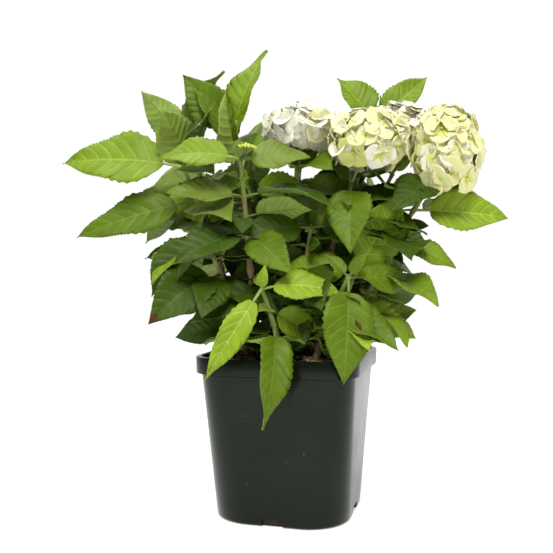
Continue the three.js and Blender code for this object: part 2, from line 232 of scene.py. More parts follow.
def add_tube(piece, path, radii, sides, material, relief=None):
    """A closed tube along a path. relief(turns, steps) gives each point's share of its radius."""
    _, firsts, seconds = path_frames(path)
    turns = np.arange(sides) * 2 * math.pi / sides
    steps = np.arange(len(path))
    share = relief(turns, steps) if relief else np.ones((len(path), sides))
    radius = np.asarray(radii)[:, None] * share
    ring = (np.cos(turns)[None, :, None] * firsts[:, None, :]
            + np.sin(turns)[None, :, None] * seconds[:, None, :])
    points = path[:, None, :] + radius[:, :, None] * ring
    start = piece.add_points(points)
    foot = piece.add_points(path[0])
    top = piece.add_points(path[-1])
    grid = start + np.arange(len(path) * sides).reshape(len(path), sides)
    onward = np.roll(grid, -1, axis=1)
    quads = np.stack([grid[:-1], onward[:-1], onward[1:], grid[1:]], axis=-1)
    materials = np.asarray(material)
    if materials.ndim:
        materials = np.repeat(materials[:-1], sides)
    piece.add_quads(quads, materials)
    ends = materials if materials.ndim == 0 else materials[0]
    tips = materials if materials.ndim == 0 else materials[-1]
    piece.add_triangles(np.stack([onward[0], grid[0], np.full(sides, foot)], axis=-1), ends)
    piece.add_triangles(np.stack([grid[-1], onward[-1], np.full(sides, top)], axis=-1), tips)


def add_sheet(piece, top, bottom, top_material, bottom_material, rim_material):
    """A closed thin blade from two grids of points, with a flat-shaded rim between them."""
    rows, columns = top.shape[:2]
    above = piece.add_points(top) + np.arange(rows * columns).reshape(rows, columns)
    below = piece.add_points(bottom) + np.arange(rows * columns).reshape(rows, columns)
    up = np.stack([above[:-1, :-1], above[1:, :-1], above[1:, 1:], above[:-1, 1:]], axis=-1)
    down = np.stack([below[:-1, :-1], below[:-1, 1:], below[1:, 1:], below[1:, :-1]], axis=-1)
    piece.add_quads(up, np.asarray(top_material).ravel())
    piece.add_quads(down, np.asarray(bottom_material).ravel())
    around = [(r, 0) for r in range(rows)]
    around += [(rows - 1, c) for c in range(1, columns)]
    around += [(r, columns - 1) for r in range(rows - 2, -1, -1)]
    around += [(0, c) for c in range(columns - 2, 0, -1)]
    row, column = np.array(around).T
    outer, inner = above[row, column], below[row, column]
    rim = np.stack([outer, inner, np.roll(inner, -1), np.roll(outer, -1)], axis=-1)
    piece.add_quads(rim, rim_material, smooth=False)


# ---------------------------------------------------------------- materials

def new_material(name):
    material = bpy.data.materials.new(name)
    material.use_nodes = True
    nodes = material.node_tree.nodes
    links = material.node_tree.links
    return material, nodes, links, nodes["Principled BSDF"]


def noise_between(nodes, links, scale, low, high, detail=4.0):
    """A colour that wanders between two colours over the object."""
    coordinates = nodes.new("ShaderNodeTexCoord")
    noise = nodes.new("ShaderNodeTexNoise")
    noise.inputs["Scale"].default_value = scale
    noise.inputs["Detail"].default_value = detail
    links.new(coordinates.outputs["Object"], noise.inputs["Vector"])
    ramp = nodes.new("ShaderNodeValToRGB")
    ramp.color_ramp.elements[0].position = 0.35
    ramp.color_ramp.elements[0].color = (*low, 1)
    ramp.color_ramp.elements[1].position = 0.68
    ramp.color_ramp.elements[1].color = (*high, 1)
    links.new(noise.outputs["Fac"], ramp.inputs["Fac"])
    return noise, ramp


def add_bump(nodes, links, shader, height, strength, distance):
    bump = nodes.new("ShaderNodeBump")
    bump.inputs["Strength"].default_value = strength
    bump.inputs["Distance"].default_value = distance
    links.new(height, bump.inputs["Height"])
    links.new(bump.outputs["Normal"], shader.inputs["Normal"])


def scaled(colour, factor):
    return tuple(min(1.0, channel * factor) for channel in colour)


def plant_material(name, colour, roughness, spread=0.12, glow=0.0, grain=900.0, relief=0.25):
    """Plant tissue: one base colour with slight mottling, fine cell grain and a soft sheen."""
    material, nodes, links, shader = new_material(name)
    low, high = scaled(colour, 1 - spread), scaled(colour, 1 + spread)
    _, ramp = noise_between(nodes, links, 60.0, low, high)
    links.new(ramp.outputs["Color"], shader.inputs["Base Color"])
    shader.inputs["Roughness"].default_value = roughness
    shader.inputs["Specular IOR Level"].default_value = 0.12
    shader.inputs["Subsurface Weight"].default_value = glow
    shader.inputs["Subsurface Radius"].default_value = (0.002, 0.003, 0.001)
    grain_noise, _ = noise_between(nodes, links, grain, low, high)
    add_bump(nodes, links, shader, grain_noise.outputs["Fac"], relief, 0.0003)
    return material


LEAF_TONES = {
    "lime": dict(top=(0.190, 0.280, 0.015), under=(0.29, 0.39, 0.085), vein=(0.29, 0.39, 0.06)),
    "fresh": dict(top=(0.125, 0.196, 0.007), under=(0.24, 0.32, 0.060), vein=(0.19, 0.27, 0.02)),
    "mid": dict(top=(0.078, 0.130, 0.005), under=(0.18, 0.25, 0.048), vein=(0.11, 0.17, 0.014)),
    "deep": dict(top=(0.034, 0.064, 0.003), under=(0.11, 0.165, 0.035), vein=(0.047, 0.083, 0.009)),
    "grey": dict(top=(0.110, 0.158, 0.018), under=(0.18, 0.24, 0.065), vein=(0.13, 0.18, 0.03)),
}
TONE_ORDER = ["deep", "grey", "mid", "fresh", "lime"]

leaf_materials = []
for tone in TONE_ORDER:
    greens = LEAF_TONES[tone]
    leaf_materials.append(plant_material("leaf_top_" + tone, greens["top"], 0.42, glow=0.12, relief=0.35))
    leaf_materials.append(plant_material("leaf_under_" + tone, greens["under"], 0.62, glow=0.12))
    leaf_materials.append(plant_material("leaf_vein_" + tone, greens["vein"], 0.50))
LEAF_BROWN = len(leaf_materials)
leaf_materials.append(plant_material("leaf_scorch", (0.055, 0.024, 0.009), 0.85, spread=0.35))


def tone_index(tone):
    return 3 * TONE_ORDER.index(tone)


# ---------------------------------------------------------------- leaves

VEIN_PAIRS = 8
ROWS_PER_VEIN = (0.0, 0.09, 0.25, 0.40, 0.56, 0.72, 0.87)
TEETH = (0.0, 0.8, 0.0, 1.0, 0.0, 1.0, 0.0)
COLUMNS = np.array([-1.0, -0.8, -0.52, -0.26, -0.04, 0.04, 0.26, 0.52, 0.8, 1.0])
MIDRIB_COLUMN = 4
BASE_POWER = 0.66  # how fast the blade widens from its base
TIP_POWER = 1.25  # and how fast it narrows to its tip
STALK_SHARE = 0.15
STALK_RINGS = 7
STALK_SIDES = 8
TOOTH_DEPTH = 0.085
RIPPLE_DEPTH = 0.022
QUILT_DEPTH = 0.011
BLADE_THICKNESS = 0.4
VEIN_RELIEF = 0.48
MIDRIB_RELIEF = 0.9
TWIST_SPREAD = 0.45
WIDEST = (BASE_POWER ** BASE_POWER * TIP_POWER ** TIP_POWER
          / (BASE_POWER + TIP_POWER) ** (BASE_POWER + TIP_POWER))

row_places = np.array([(pair + part) / VEIN_PAIRS for pair in range(VEIN_PAIRS)
                       for part in ROWS_PER_VEIN] + [1.0]) * 0.985 + 0.01
row_part = np.array([part for _ in range(VEIN_PAIRS) for part in ROWS_PER_VEIN] + [0.0])
row_tooth = np.array([tooth for _ in range(VEIN_PAIRS) for tooth in TEETH] + [0.0])
ACROSS = COLUMNS[None, :]
EDGE = np.abs(ACROSS)
SWEEP = 0.30 * EDGE ** 1.2 * ((1 - row_places) ** 0.8 * np.minimum(1, 4 * row_places))[:, None]
ALONG = np.clip(row_places[:, None] + SWEEP, 0.0, 0.998)
OUTLINE = ALONG ** BASE_POWER * (1 - ALONG) ** TIP_POWER / WIDEST
ON_VEIN = row_part == 0.0
QUILT = (np.sin(math.pi * row_part)[:, None] ** 0.7) * np.sin(math.pi * np.minimum(EDGE, 0.9)) ** 0.5
vein_faces = np.zeros((len(row_places) - 1, len(COLUMNS) - 1), dtype=bool)
vein_faces[ON_VEIN[:-1], :] = True
vein_faces[:, MIDRIB_COLUMN] = True
vein_faces[:, 0] = False
vein_faces[:, -1] = False


def arc_points(length, bend, shares):
    """Along and over distances, and the slope, of an arc whose chord has a given length."""
    arc_length = length * (bend / 2) / math.sin(bend / 2)
    slope = bend * (0.5 - shares)
    radius = arc_length / bend
    along = radius * (math.sin(bend / 2) - np.sin(slope))
    over = radius * (np.cos(slope) - math.cos(bend / 2))
    return along, over, slope


def leaf_axes(direction, rise, faces, lean_share, roll):
    chord = level_direction(direction) * math.cos(math.radians(rise))
    chord[2] = math.sin(math.radians(rise))
    lean = level_direction(faces) * LEAF_LEAN * lean_share + np.array([0.0, 0.0, 1.0])
    over = without(lean, chord)
    across = np.cross(over, chord)
    angle = math.radians(roll)
    over, across = (over * math.cos(angle) + across * math.sin(angle),
                    across * math.cos(angle) - over * math.sin(angle))
    return chord, over, across


def add_leaf(blades, stalks, base, leaf, faces, droop, tone, roll=0.0, width=0.30, lean=1.0,
             damage=None):
    """One leaf: a grooved stalk, then a toothed, quilted blade bent along an arc."""
    direction, rise, reach = leaf
    reach = reach * MM
    chord, over, across = leaf_axes(direction, rise, faces, lean, roll)
    bend = math.radians(max(droop, 6))
    shares = STALK_SHARE + (1 - STALK_SHARE) * ALONG
    along, lift, slope = arc_points(reach, bend, shares)
    upright = over * np.cos(slope)[..., None] - chord * np.sin(slope)[..., None]
    twist = (chance.gauss(0, TWIST_SPREAD) * (ALONG - 0.25))[..., None]
    normal = upright * np.cos(twist) - across * np.sin(twist)
    outward = across * np.cos(twist) + upright * np.sin(twist)
    blade = reach * (1 - STALK_SHARE)
    half_width = width * blade * OUTLINE
    teeth = 1 + TOOTH_DEPTH * row_tooth[:, None] * EDGE ** 8
    sideways = ACROSS * half_width * teeth
    wobble = chance.uniform(0, 6.28)
    fold = chance.uniform(0.08, 0.42)
    ripple = blade * RIPPLE_DEPTH * np.sin(ALONG * 13 + wobble + 2 * ACROSS) * EDGE ** 2
    quilt = blade * QUILT_DEPTH * QUILT * OUTLINE ** 0.5
    height = fold * np.abs(sideways) + ripple + quilt
    curl = chance.uniform(-0.07, 0.07) * blade * ALONG ** 2
    centre = (base + chord * along[..., None] + over * lift[..., None]
              + outward * sideways[..., None] + across * curl[..., None])
    top = centre + normal * height[..., None]
    rib = np.where(ON_VEIN, VEIN_RELIEF, 0.0)[:, None] * (1 - EDGE)
    midrib = np.where(EDGE < 0.1, MIDRIB_RELIEF, 0.0) * (1 - ALONG)
    bottom = top - normal * ((BLADE_THICKNESS + rib + midrib) * MM)[..., None]
    first = tone_index(tone)
    top_material = np.where(vein_faces, first + 2, first)
    bottom_material = np.where(vein_faces, first + 2, first + 1)
    if damage == "tip":
        top_material[-9:, :] = LEAF_BROWN
        bottom_material[-9:, :] = LEAF_BROWN
    if damage == "spot":
        top_material[14:18, 6:7] = LEAF_BROWN
    add_sheet(blades, top, bottom, top_material, bottom_material, first + 1)
    stalk_shares = np.linspace(0, STALK_SHARE + 0.02, STALK_RINGS)
    stalk_along, stalk_lift, _ = arc_points(reach, bend, stalk_shares)
    path = base + chord * stalk_along[:, None] + over * stalk_lift[:, None]
    thick = 0.85 + reach / MM / 130
    radii = np.linspace(thick * 1.25, thick * 0.75, STALK_RINGS) * MM
    add_tube(stalks, path, radii, STALK_SIDES, STALK_TONES[tone], relief=stalk_groove)


def stalk_groove(turns, steps):
    """A shallow channel along the upper side of a leaf stalk."""
    return np.ones((len(steps), 1)) - 0.18 * np.exp(-4 * (turns - 1.57) ** 2)


STALK_TONES = {"lime": 0, "fresh": 0, "mid": 1, "deep": 1, "grey": 1}
stalk_materials = [
    plant_material("stalk_pale", (0.24, 0.31, 0.07), 0.45),
    plant_material("stalk_green", (0.12, 0.17, 0.035), 0.45),
]


# ---------------------------------------------------------------- stems

STEM_FOOT_RADIUS = 4.2
STEM_TIP_RADIUS = 2.2
STEM_RINGS = 64
STEM_SIDES = 14


def soil_top(x, y):
    """The peat's height at a place in the row frame, in millimetres."""
    outward = np.maximum(np.abs(x), np.abs(y)) / WALL_TOP_HALF_WIDTH
    ripple = SOIL_RIPPLE * (np.sin(x / 13 + 1) + np.sin(y / 11 + x / 29))
    return SOIL_EDGE_HEIGHT + SOIL_CROWN * (1 - outward * outward) + ripple


def stem_path(foot, tip, samples):
    start = turned(*foot, 0)
    start[2] = soil_top(start[0] / MM, start[1] / MM) * MM - 0.002
    end = turned(*tip)
    bend = start + (end - start) * np.array([0.36, 0.36, 0.5])
    share = np.linspace(0, 1, samples)[:, None]
    return start * (1 - share) ** 2 + 2 * bend * share * (1 - share) + end * share ** 2


def node_share(foot, tip, pair):
    path = stem_path(foot, tip, 40)
    length = np.linalg.norm(np.diff(path, axis=0), axis=1).sum()
    return max(0.15, 1 - NODE_STEP * MM * pair / length)


def point_at(path, share):
    place = share * (len(path) - 1)
    low = min(int(place), len(path) - 2)
    return path[low] + (path[low + 1] - path[low]) * (place - low)


stem_materials = [
    plant_material("stem_bark", (0.30, 0.225, 0.125), 0.85, spread=0.4, grain=420.0, relief=0.8),
    plant_material("stem_ripening", (0.20, 0.18, 0.065), 0.7, spread=0.3, grain=500.0, relief=0.6),
    plant_material("stem_green", (0.15, 0.20, 0.045), 0.5, spread=0.15),
]


def add_stem(piece, name, shoot):
    """A woody cane: ridged bark below, green wood above, swollen at every leaf pair."""
    tip = shoot["tip"]
    path = stem_path(shoot["foot"], tip, STEM_RINGS)
    pairs = len(shoot["leaves"]) // 2
    shares = np.linspace(0, 1, STEM_RINGS)
    radii = STEM_FOOT_RADIUS + (STEM_TIP_RADIUS - STEM_FOOT_RADIUS) * shares
    node_shares = [node_share(shoot["foot"], tip, pair) for pair in range(pairs + 2)]
    for share in node_shares:
        radii = radii * (1 + 0.38 * np.exp(-((shares - share) / 0.016) ** 2))
    radii = radii * (1 + 0.25 * np.exp(-(shares / 0.03) ** 2))
    shift = chance.uniform(0, 6.28)

    def bark(turns, steps):
        ridges = 0.05 * np.sin(5 * turns[None, :] + 0.11 * steps[:, None] + shift)
        cracks = 0.045 * np.sin(11 * turns[None, :] - 0.4 * steps[:, None])
        spots = 0.05 * np.sin(2.3 * steps[:, None] + 3 * turns[None, :] + shift)
        fade = np.clip(1.3 - steps[:, None] / STEM_RINGS * 1.4, 0.15, 1)
        return 1 + (ridges + cracks + spots) * fade

    woody = 0.62 if shoot["tone"] in ("deep", "mid", "grey") else 0.42
    if name == "front_low":
        woody = 0.0
    material = np.where(shares < woody, 0, np.where(shares < woody + 0.2, 1, 2))
    add_tube(piece, path, radii * MM, STEM_SIDES, material, relief=bark)


# ---------------------------------------------------------------- foliage

BLADE_GROUPS = {
    "leaves_left": ["left_outer", "left_low", "left_upper"],
    "leaves_top": ["left_tall", "bud", "left_head"],
    "leaves_front": ["front_low", "front_right", "low_middle", "centre"],
    "leaves_right": ["right_head", "right_low", "inner_right"],
    "leaves_inner": ["centre_head", "back_head", "upper_right", "back_low"],
    "leaves_back": ["back_left", "back_middle", "back_right"],
}


def neighbour_tone(tone):
    place = TONE_ORDER.index(tone) + chance.choice((-1, 0, 0, 1))
    return TONE_ORDER[min(max(place, 0), len(TONE_ORDER) - 1)]


def painted_shade_tone(tone):
    """Painted shade: leaves inside the crown get a tone up to three steps deeper than their shoot's own.
    """
    place = TONE_ORDER.index(tone) - chance.choice((0, 1, 2, 3))
    return TONE_ORDER[max(place, 0)]


HANGING = -45  # a leaf steeper than this hangs over the rim
RIM_CLEARANCE = 14
FACING_SHARE = 0.5  # inner leaves that face outwards stay short, behind the shoot's own leaves
CROWDED_TIPS = ("left_tall", "left_upper")  # shoots with steep leaves packed round the tip
CROWDED_LIFT = 48
DAMAGED_LEAVES = {("left_low", 2): "tip", ("front_right", 0): "spot"}


def clear_of_pot(base, rise, reach):
    """The rise that keeps a leaf above the rim, unless it hangs down outside the pot."""
    if rise < HANGING:
        return rise
    lowest = (POT_HEIGHT + RIM_CLEARANCE) * MM - base[2]
    return max(rise, math.degrees(math.asin(min(max(lowest / (reach * MM), -1), 0.9))))


def grow_shoot(name, shoot, blades, stalks):
    """The shoot's own big leaves, then younger ones at its tip and side leaves lower down."""
    path = stem_path(shoot["foot"], shoot["tip"], 40)
    leaves = shoot["leaves"]
    for index, leaf in enumerate(leaves):
        base = point_at(path, node_share(shoot["foot"], shoot["tip"], index // 2))
        tone = shoot["tone"] if index < 2 else neighbour_tone(shoot["tone"])
        if len(leaf) > 4:
            tone = leaf[4]
        width = leaf[3] if len(leaf) > 3 else chance.uniform(0.28, 0.33)
        droop = shoot["droop"] + chance.uniform(-10, 14)
        leaf = (leaf[0], clear_of_pot(base, leaf[1], leaf[2]), leaf[2])
        add_leaf(blades, stalks, base, leaf, shoot["faces"], droop, tone,
                 roll=chance.gauss(0, 14), width=width, lean=chance.uniform(0.65, 1.2),
                 damage=DAMAGED_LEAVES.get((name, index)))
    turn = leaves[0][0] + 90
    for side in (0, 180):
        young = (turn + side + chance.uniform(-15, 15), chance.uniform(30, 60),
                 chance.uniform(26, 42))
        add_leaf(blades, stalks, path[-1], young, shoot["faces"], 20, shoot["tone"], width=0.24)
    pairs = len(leaves) // 2
    for level in range(pairs + 1):
        crowded = level == 0 and name in CROWDED_TIPS
        full_reach = level or crowded or name in HEADS
        base = point_at(path, node_share(shoot["foot"], shoot["tip"], level + 0.55))
        turn = leaves[0][0] + 90 * level + 45 + chance.uniform(-20, 20)
        for side in (0, 140, 220):
            reach = chance.uniform(58, 92) * (1 if full_reach else 0.75)
            if math.cos(math.radians(turn + side - shoot["faces"])) > 0.5:
                reach *= FACING_SHARE
            rise = chance.uniform(-30, 12) + (CROWDED_LIFT if crowded else 0)
            rise = clear_of_pot(base, rise, reach)
            filler = (turn + side, rise, reach)
            # side leaves inside the crown carry painted shade: a tone up to three steps deeper than the
            # shoot's
            add_leaf(blades, stalks, base, filler, shoot["faces"], shoot["droop"],
                     painted_shade_tone(shoot["tone"]), roll=chance.gauss(0, 28),
                     width=chance.uniform(0.27, 0.32), lean=chance.uniform(0.2, 1.2))


stems = Piece("woody_stems", stem_materials)
stalks = Piece("leaf_stalks", stalk_materials)
for name, shoot in SHOOTS.items():
    add_stem(stems, name, shoot)
for group, names in BLADE_GROUPS.items():
    blades = Piece(group, leaf_materials)
    for name in names:
        grow_shoot(name, SHOOTS[name], blades, stalks)
    blades.build([name + "_leaves" for name in names])
stems.build([name + "_stem" for name in SHOOTS])
stalks.build([])


# ---------------------------------------------------------------- flower heads

PETAL_ROWS = 0.5 - 0.5 * np.cos(np.linspace(0.12, 1.0, 8) * math.pi)
PETAL_COLUMNS = np.linspace(-1, 1, 7)
PETAL_COLOURS = {
    "white": (0.665, 0.65, 0.52),
    "cream": (0.625, 0.61, 0.32),
    "lime": (0.48, 0.52, 0.08),
    "pale_lime": (0.56, 0.58, 0.19),
    "tan": (0.42, 0.27, 0.13),
}
PETAL_ORDER = list(PETAL_COLOURS)
petal_materials = [plant_material("sepal_" + name, colour, 0.6, spread=0.04, glow=0.75, grain=500.0)
                   for name, colour in PETAL_COLOURS.items()]
petal_materials.append(plant_material("floret_eye", (0.50, 0.56, 0.20), 0.5))
petal_materials.append(plant_material("pedicel", (0.16, 0.21, 0.06), 0.5))
EYE = len(PETAL_ORDER)
PEDICEL = EYE + 1
HEAD_MIX = {
    "white": (("white", 9), ("cream", 1)),
    "cream": (("cream", 9), ("white", 3), ("pale_lime", 1)),
    "lime": (("cream", 6), ("white", 4), ("pale_lime", 1)),
}


def pick(mix):
    names = [name for name, weight in mix for _ in range(weight)]
    return chance.choice(names)


def add_petal(piece, centre, outward, normal, length, colour, heart, brown):
    """One rounded sepal, cupped and wavy, tinted towards its claw."""
    side = np.cross(normal, outward)
    along = PETAL_ROWS[:, None] + np.zeros((1, len(PETAL_COLUMNS)))
    outline = np.sqrt(np.maximum(1 - (2 * along - 1) ** 2, 0.004))
    across = PETAL_COLUMNS[None, :] * outline * length * 0.58
    rounded = along - 0.10 * PETAL_COLUMNS[None, :] ** 2 * along ** 2
    cup = chance.uniform(-0.22, 0.16)
    wave = 0.04 * np.sin(3 * PETAL_COLUMNS[None, :] + chance.uniform(0, 6)) * along
    ribs = 0.012 * np.cos(9 * PETAL_COLUMNS[None, :]) * along
    height = length * (cup * along ** 2 + 0.12 * (PETAL_COLUMNS[None, :] * outline) ** 2 + wave + ribs)
    top = (centre + outward * (rounded * length)[..., None] + side * across[..., None]
           + normal * height[..., None])
    bottom = top - normal * 0.00035
    faces = np.full((len(PETAL_ROWS) - 1, len(PETAL_COLUMNS) - 1), PETAL_ORDER.index(colour))
    faces[:1, :] = PETAL_ORDER.index("lime" if heart == "pale_lime" else heart)
    faces[1:2, :] = PETAL_ORDER.index(heart)
    if brown:
        faces[-1, :] = PETAL_ORDER.index("tan")
        faces[-2, :2] = PETAL_ORDER.index("tan")
    add_sheet(piece, bottom[:, ::-1], top[:, ::-1], faces[:, ::-1], faces[:, ::-1], faces[-1, 3])


def add_bead(piece, centre, radius, material, axis=(0.0, 0.0, 1.0), stretch=1.0):
    """A small closed bead with rings round its axis."""
    axis = unit(np.array(axis, dtype=float))
    levels = np.linspace(-0.92, 0.92, 4)
    path = centre + axis * (levels * radius * stretch)[:, None]
    radii = radius * np.sqrt(1 - levels ** 2)
    add_tube(piece, path, radii, 6, material)


def add_floret(piece, centre, normal, size, colour, heart, brown):
    start = chance.uniform(0, math.pi / 2)
    first = without(np.array([0.3, 0.5, 0.8]), normal)
    second = np.cross(normal, first)
    for quarter in range(4):
        angle = start + quarter * math.pi / 2 + chance.uniform(-0.1, 0.1)
        outward = first * math.cos(angle) + second * math.sin(angle)
        tilt = chance.uniform(-0.15, 0.30)
        lifted = unit(outward + normal * tilt)
        up = without(normal, lifted)
        base = centre + normal * (0.0006 * (quarter % 2)) + outward * 0.0008
        spoiled = brown and chance.random() < 0.5
        add_petal(piece, base, lifted, up, size * chance.uniform(0.9, 1.08), colour, heart, spoiled)
    add_bead(piece, centre + normal * 0.0012, 0.0016, EYE, normal)


def grow_head(name, head, piece):
    """A dome of florets on pedicels that fan out from the top of the stem."""
    middle = turned(*head["at"])
    radii = np.array(head["radii"]) * MM
    shoot = SHOOTS[name]
    neck = turned(*shoot["tip"])
    hub = neck + (middle - neck) * 0.55
    add_tube(piece, np.linspace(neck, hub, 8), np.linspace(1.7, 2.0, 8) * MM, 10, PEDICEL)
    count = head["florets"]
    golden = math.pi * (3 - math.sqrt(5))
    for index in range(count):
        z = 1 - 1.62 * (index + 0.5) / count
        ring = math.sqrt(1 - z * z)
        angle = golden * index
        normal = np.array([ring * math.cos(angle), ring * math.sin(angle), z])
        jitter = np.array([chance.gauss(0, 0.08) for _ in range(3)])
        normal = unit(normal + jitter)
        size = chance.uniform(0.0180, 0.0220)
        surface = middle + normal * (radii - 0.0065) * chance.uniform(0.90, 1.0)
        facing = unit(normal / radii)
        colour = pick(HEAD_MIX[head["tone"]])
        heart = "pale_lime" if head["tone"] != "white" else chance.choice(("cream", colour))
        brown = normal[2] > 0.45 and chance.random() < 0.4
        add_floret(piece, surface, facing, size, colour, heart, brown)
        share = np.linspace(0, 1, 5)[:, None]
        bow = middle * 0.5 + hub * 0.5 + normal * radii * 0.25
        path = hub * (1 - share) ** 2 + 2 * bow * share * (1 - share) + surface * share ** 2
        add_tube(piece, path, np.linspace(1.0, 0.55, 5) * MM, 5, PEDICEL)


for name, head in HEADS.items():
    blossom = Piece(name + "_florets", petal_materials)
    grow_head(name, head, blossom)
    blossom.build([name])


BUDS = 34
BUD_SPREAD = 0.011


def grow_buds():
    """The yellow-green cluster of unopened flowers at the tip of the bud shoot."""
    piece = Piece("flower_buds", petal_materials)
    tip = turned(*SHOOTS["bud"]["tip"]) + turned(7, -9, 7)
    for index in range(BUDS):
        spread = BUD_SPREAD * math.sqrt(index / BUDS)
        angle = index * 2.4
        place = tip + np.array([spread * math.cos(angle), spread * math.sin(angle),
                                0.008 - 0.4 * spread])
        foot = tip - np.array([0, 0, 0.002])
        add_tube(piece, np.linspace(foot, place, 4), np.linspace(0.7, 0.5, 4) * MM, 5, PEDICEL)
        add_bead(piece, place, 0.0015, PETAL_ORDER.index("lime"), place - foot, 1.2)
    piece.build([])


grow_buds()


# ---------------------------------------------------------------- pot

CORNER_STEPS = 14


def rounded_square(half_width, corner, z):
    centre = half_width - corner
    ring = []
    for quarter in range(4):
        middle = math.radians(45 + 90 * quarter)
        for step in range(CORNER_STEPS + 1):
            angle = math.radians(90 * quarter + 90 * step / CORNER_STEPS)
            ring.append((math.sqrt(2) * centre * math.cos(middle) + corner * math.cos(angle),
                         math.sqrt(2) * centre * math.sin(middle) + corner * math.sin(angle), z))
    return np.array(ring) * MM


def wall_square(z, offset):
    share = z / POT_HEIGHT
    half_width = FOOT_HALF_WIDTH + (WALL_TOP_HALF_WIDTH - FOOT_HALF_WIDTH) * share + offset
    corner = FOOT_CORNER + (WALL_TOP_CORNER - FOOT_CORNER) * share + offset
    return rounded_square(half_width, corner, z)


def pot_rings():
    """The pot's profile from the middle of its underside, up outside and down inside."""
    shoulder = POT_HEIGHT - RIM_HEIGHT
    rings = [rounded_square(FOOT_HALF_WIDTH - 16, FOOT_CORNER - 16, 0.0)]
    for step in range(5):
        angle = math.radians(90 * step / 4)
        inset = FOOT_BEVEL * (1 - math.sin(angle))
        rings.append(wall_square(FOOT_BEVEL * (1 - math.cos(angle)), -inset))
    rings += [wall_square(z, 0) for z in np.linspace(12, shoulder - 1.2, 9)]
    rings.append(rounded_square(RIM_HALF_WIDTH - 1.4, RIM_CORNER - 1.4, shoulder))
    rings.append(rounded_square(RIM_HALF_WIDTH - 0.4, RIM_CORNER - 0.4, shoulder + 0.4))
    rings.append(rounded_square(RIM_HALF_WIDTH - 0.3, RIM_CORNER - 0.3, shoulder + 1.4))
    rings.append(rounded_square(RIM_HALF_WIDTH, RIM_CORNER, POT_HEIGHT - 1.6))
    rings.append(rounded_square(RIM_HALF_WIDTH - 0.4, RIM_CORNER - 0.4, POT_HEIGHT - 0.4))
    rings.append(rounded_square(RIM_HALF_WIDTH - 1.4, RIM_CORNER - 1.4, POT_HEIGHT))
    rings.append(wall_square(POT_HEIGHT, -WALL + 1))
    rings.append(wall_square(POT_HEIGHT - 0.8, -WALL))
    rings += [wall_square(z, -WALL) for z in np.linspace(POT_HEIGHT - 8, 6, 6)]
    rings.append(wall_square(FLOOR, -WALL - 3))
    return rings


def pot_material():
    """Black injection-moulded plastic: satin, faintly streaked and smudged, flecked with dust."""
    material, nodes, links, shader = new_material("pot_plastic_black")
    _, ramp = noise_between(nodes, links, 14.0, (0.0018, 0.0034, 0.0016), (0.0046, 0.0074, 0.0042), 8.0)
    shader.inputs["Specular IOR Level"].default_value = 0.18
    shader.inputs["Specular Tint"].default_value = (0.88, 1.0, 0.80, 1)
    ramp.color_ramp.elements[1].position = 0.75
    coordinates = nodes.new("ShaderNodeTexCoord")
    specks = nodes.new("ShaderNodeTexNoise")
    specks.inputs["Scale"].default_value = 210.0
    specks.inputs["Detail"].default_value = 3.0
    links.new(coordinates.outputs["Object"], specks.inputs["Vector"])
    mask = nodes.new("ShaderNodeValToRGB")
    mask.color_ramp.elements[0].position = 0.70
    mask.color_ramp.elements[0].color = (0, 0, 0, 1)
    mask.color_ramp.elements[1].position = 0.78
    mask.color_ramp.elements[1].color = (0.5, 0.5, 0.5, 1)
    links.new(specks.outputs["Fac"], mask.inputs["Fac"])
    dust = nodes.new("ShaderNodeMix")
    dust.data_type = "RGBA"
    dust.inputs[7].default_value = (0.11, 0.10, 0.08, 1)
    links.new(mask.outputs["Color"], dust.inputs[0])
    links.new(ramp.outputs["Color"], dust.inputs[6])
    links.new(dust.outputs[2], shader.inputs["Base Color"])
    rough = nodes.new("ShaderNodeMapRange")
    rough.inputs["To Min"].default_value = 0.14
    rough.inputs["To Max"].default_value = 0.30
    smudge = nodes.new("ShaderNodeTexNoise")
    smudge.inputs["Scale"].default_value = 22.0
    smudge.inputs["Detail"].default_value = 6.0
    links.new(coordinates.outputs["Object"], smudge.inputs["Vector"])
    links.new(smudge.outputs["Fac"], rough.inputs["Value"])
    links.new(rough.outputs["Result"], shader.inputs["Roughness"])
    fine = nodes.new("ShaderNodeTexNoise")
    fine.inputs["Scale"].default_value = 1400.0
    links.new(coordinates.outputs["Object"], fine.inputs["Vector"])
    add_bump(nodes, links, shader, fine.outputs["Fac"], 0.12, 0.0002)
    return material


def build_pot():
    piece = Piece("pot_moulded", [pot_material()])
    rings = np.array(pot_rings())
    levels, sides = rings.shape[:2]
    start = piece.add_points(rings)
    grid = start + np.arange(levels * sides).reshape(levels, sides)
    onward = np.roll(grid, -1, axis=1)
    piece.add_quads(np.stack([grid[:-1], onward[:-1], onward[1:], grid[1:]], axis=-1), 0)
    under = piece.add_points((0.0, 0.0, 0.0))
    floor = piece.add_points((0.0, 0.0, FLOOR * MM))
    piece.add_triangles(np.stack([onward[0], grid[0], np.full(sides, under)], axis=-1), 0)
    piece.add_triangles(np.stack([grid[-1], onward[-1], np.full(sides, floor)], axis=-1), 0)
    pot = piece.build(["pot"])
    cut_drain_slots(pot)
    pot.data.set_sharp_from_angle(angle=math.radians(32))


